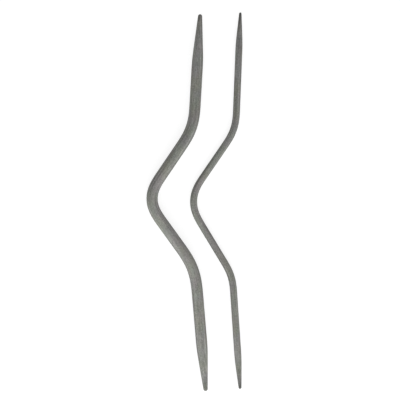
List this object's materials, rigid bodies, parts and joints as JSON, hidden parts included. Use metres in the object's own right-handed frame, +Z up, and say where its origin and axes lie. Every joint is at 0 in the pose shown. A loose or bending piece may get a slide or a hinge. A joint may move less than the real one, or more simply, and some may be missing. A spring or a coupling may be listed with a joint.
{
  "type": "cable stitch needle set",
  "caption": "Bent cable-stitch needles, one thick and one thin: round grey-coated aluminium rods with a middle crook that holds waiting stitches and blunt tapered points.",
  "frame": {"origin": "bottom centre of the pair's bounding box, on the surface that both needles lie on", "axes": "+Y along the needles, +X the side that both crooks open to, +Z up from the surface they lie on"},
  "size_m": [0.034, 0.1342, 0.004],
  "materials": {
    "grey_coating": "satin grey coating"
  },
  "bodies": {
    "large_needle": {"large_needle": "grey_coating"},
    "small_needle": {"small_needle": "grey_coating"}
  },
  "joints": [
    {"name": "small_needle_lift", "type": "slide", "parent": "large_needle", "child": "small_needle", "axis": [0, 0, 1], "range_m": [0, 0.05]}
  ]
}
